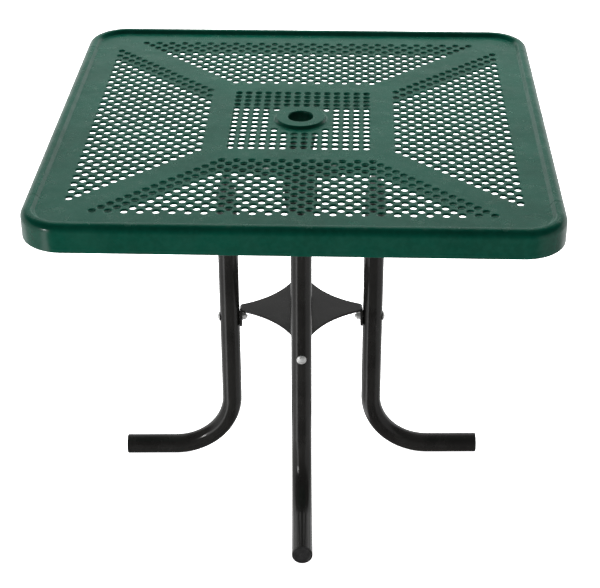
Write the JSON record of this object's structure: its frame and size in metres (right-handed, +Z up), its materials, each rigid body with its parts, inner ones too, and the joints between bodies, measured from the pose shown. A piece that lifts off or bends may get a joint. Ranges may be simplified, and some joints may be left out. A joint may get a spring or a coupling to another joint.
{
  "type": "picnic table",
  "caption": "Square coated-steel picnic table with a perforated top, rolled rim, raised umbrella collar and bent-tube legs joined by a star-shaped brace plate.",
  "frame": {"origin": "on the ground, under the centre of the square top", "axes": "+Z up, -Y the front, +X to the right seen from the front; the sides of the top are parallel to X and Y"},
  "size_m": [0.9144, 0.9144, 0.7747],
  "materials": {
    "green_coating": "smooth glossy dark green plastic coating",
    "black_powder_coat": "gloss black powder coat",
    "zinc_steel": "zinc plated",
    "black_plastic": "black moulded plastic"
  },
  "bodies": {
    "root": {"top_sheet": "green_coating", "umbrella_collar": "green_coating", "rim_front": "green_coating", "rim_back": "green_coating", "rim_left": "green_coating", "rim_right": "green_coating", "ring_channel_right": "green_coating", "ring_channel_back": "green_coating", "ring_channel_left": "green_coating", "ring_channel_front": "green_coating", "diagonal_channel_back_right": "green_coating", "diagonal_channel_back_left": "green_coating", "diagonal_channel_front_left": "green_coating", "diagonal_channel_front_right": "green_coating", "leg_plate_right": "black_powder_coat", "leg_plate_back": "black_powder_coat", "leg_plate_left": "black_powder_coat", "leg_plate_front": "black_powder_coat", "leg_right": "black_powder_coat", "leg_back": "black_powder_coat", "leg_left": "black_powder_coat", "leg_front": "black_powder_coat", "foot_cap_right": "black_plastic", "foot_cap_back": "black_plastic", "foot_cap_left": "black_plastic", "foot_cap_front": "black_plastic", "brace_plate": "black_powder_coat", "brace_bolts": "zinc_steel", "brace_washers": "zinc_steel", "brace_nuts": "zinc_steel", "mount_bolts": "zinc_steel", "mount_washers": "zinc_steel", "mount_nuts": "zinc_steel"}
  },
  "joints": []
}
